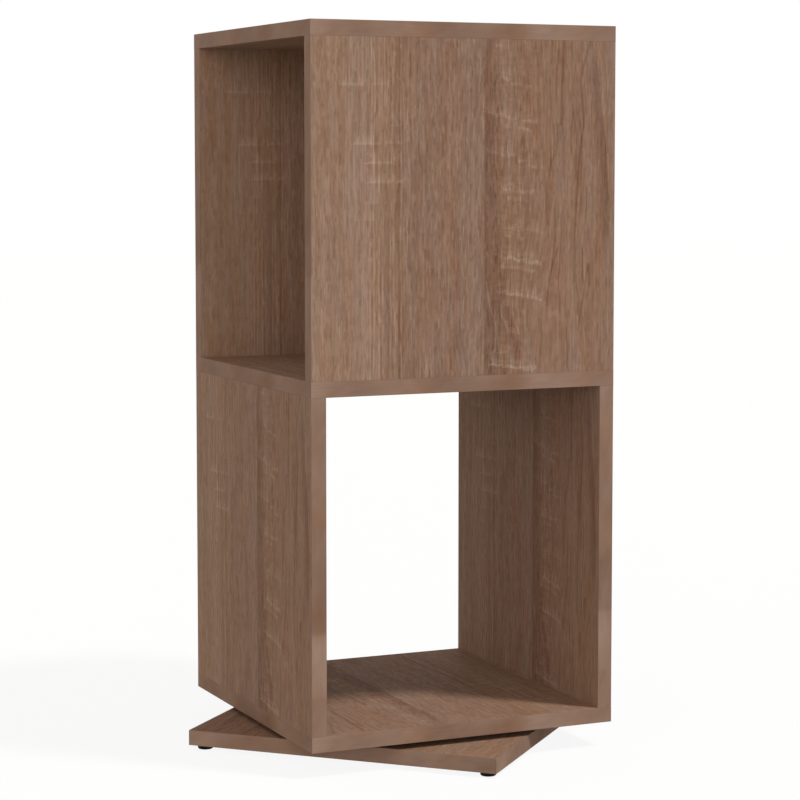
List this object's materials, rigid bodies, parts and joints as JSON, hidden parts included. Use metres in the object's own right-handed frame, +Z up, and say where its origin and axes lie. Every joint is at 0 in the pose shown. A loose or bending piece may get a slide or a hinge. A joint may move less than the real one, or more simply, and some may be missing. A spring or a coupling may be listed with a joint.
{
  "type": "rotating storage cabinet",
  "caption": "Two-tier open storage cabinet of brown oak board, one tier open front to back and the other left to right, turning on a ball-bearing ring over a square base on feet.",
  "frame": {"origin": "on the floor, on the turning axis, below the centre of the cabinet", "axes": "+Z up along the turning axis, +X to the right and -Y out of the cabinet's front at rest"},
  "size_m": [0.4808, 0.4808, 0.755],
  "materials": {
    "oak_board": "melamine-faced board, brown oak decor with sawn marks, matt",
    "oak_edge_band": "printed edge band, brown oak, matt",
    "oak_foil_cap": "self-adhesive foil disc in the board's decor",
    "black_foot": "moulded black plastic",
    "alloy_ring": "turned, plain",
    "steel_ball": "polished steel",
    "nylon_cage": "natural nylon",
    "steel_screw": "zinc-plated",
    "steel_bolt": "zinc-plated",
    "zinc_cam": "die-cast zinc",
    "beech_dowel": "raw beech"
  },
  "bodies": {
    "base": {"base_plate": "oak_board", "base_plate_edge_bands": "oak_edge_band", "foot_front": "black_foot", "foot_right": "black_foot", "foot_rear": "black_foot", "foot_left": "black_foot", "foot_screws": "steel_screw", "turntable_inner_ring": "alloy_ring", "turntable_base_screws": "steel_screw"},
    "ball_cage": {"bearing_balls": "steel_ball", "ball_cage": "nylon_cage"},
    "cabinet": {"turntable_outer_ring": "alloy_ring", "turntable_cabinet_screws": "steel_screw", "bottom_panel": "oak_board", "bottom_panel_edge_bands": "oak_edge_band", "middle_panel": "oak_board", "middle_panel_edge_bands": "oak_edge_band", "top_panel": "oak_board", "top_panel_edge_bands": "oak_edge_band", "lower_left_panel": "oak_board", "lower_left_edge_bands": "oak_edge_band", "lower_left_dowels": "beech_dowel", "lower_left_cam_bolts": "steel_bolt", "lower_left_cam_locks": "zinc_cam", "lower_left_cam_caps": "oak_foil_cap", "lower_right_panel": "oak_board", "lower_right_edge_bands": "oak_edge_band", "lower_right_dowels": "beech_dowel", "lower_right_cam_bolts": "steel_bolt", "lower_right_cam_locks": "zinc_cam", "lower_right_cam_caps": "oak_foil_cap", "upper_front_panel": "oak_board", "upper_front_edge_bands": "oak_edge_band", "upper_front_dowels": "beech_dowel", "upper_front_cam_bolts": "steel_bolt", "upper_front_cam_locks": "zinc_cam", "upper_front_cam_caps": "oak_foil_cap", "upper_rear_panel": "oak_board", "upper_rear_edge_bands": "oak_edge_band", "upper_rear_dowels": "beech_dowel", "upper_rear_cam_bolts": "steel_bolt", "upper_rear_cam_locks": "zinc_cam", "upper_rear_cam_caps": "oak_foil_cap"}
  },
  "joints": [
    {"name": "cabinet_spin", "type": "hinge", "parent": "base", "child": "cabinet", "pos_m": [0, 0, 0.024], "axis": [0, 0, 1], "continuous": true},
    {"name": "cage_spin", "type": "hinge", "parent": "base", "child": "ball_cage", "pos_m": [0, 0, 0.024], "axis": [0, 0, 1], "continuous": true}
  ],
  "couplings": [
    {"joint": "cage_spin", "follows": "cabinet_spin", "ratio": 0.5}
  ]
}
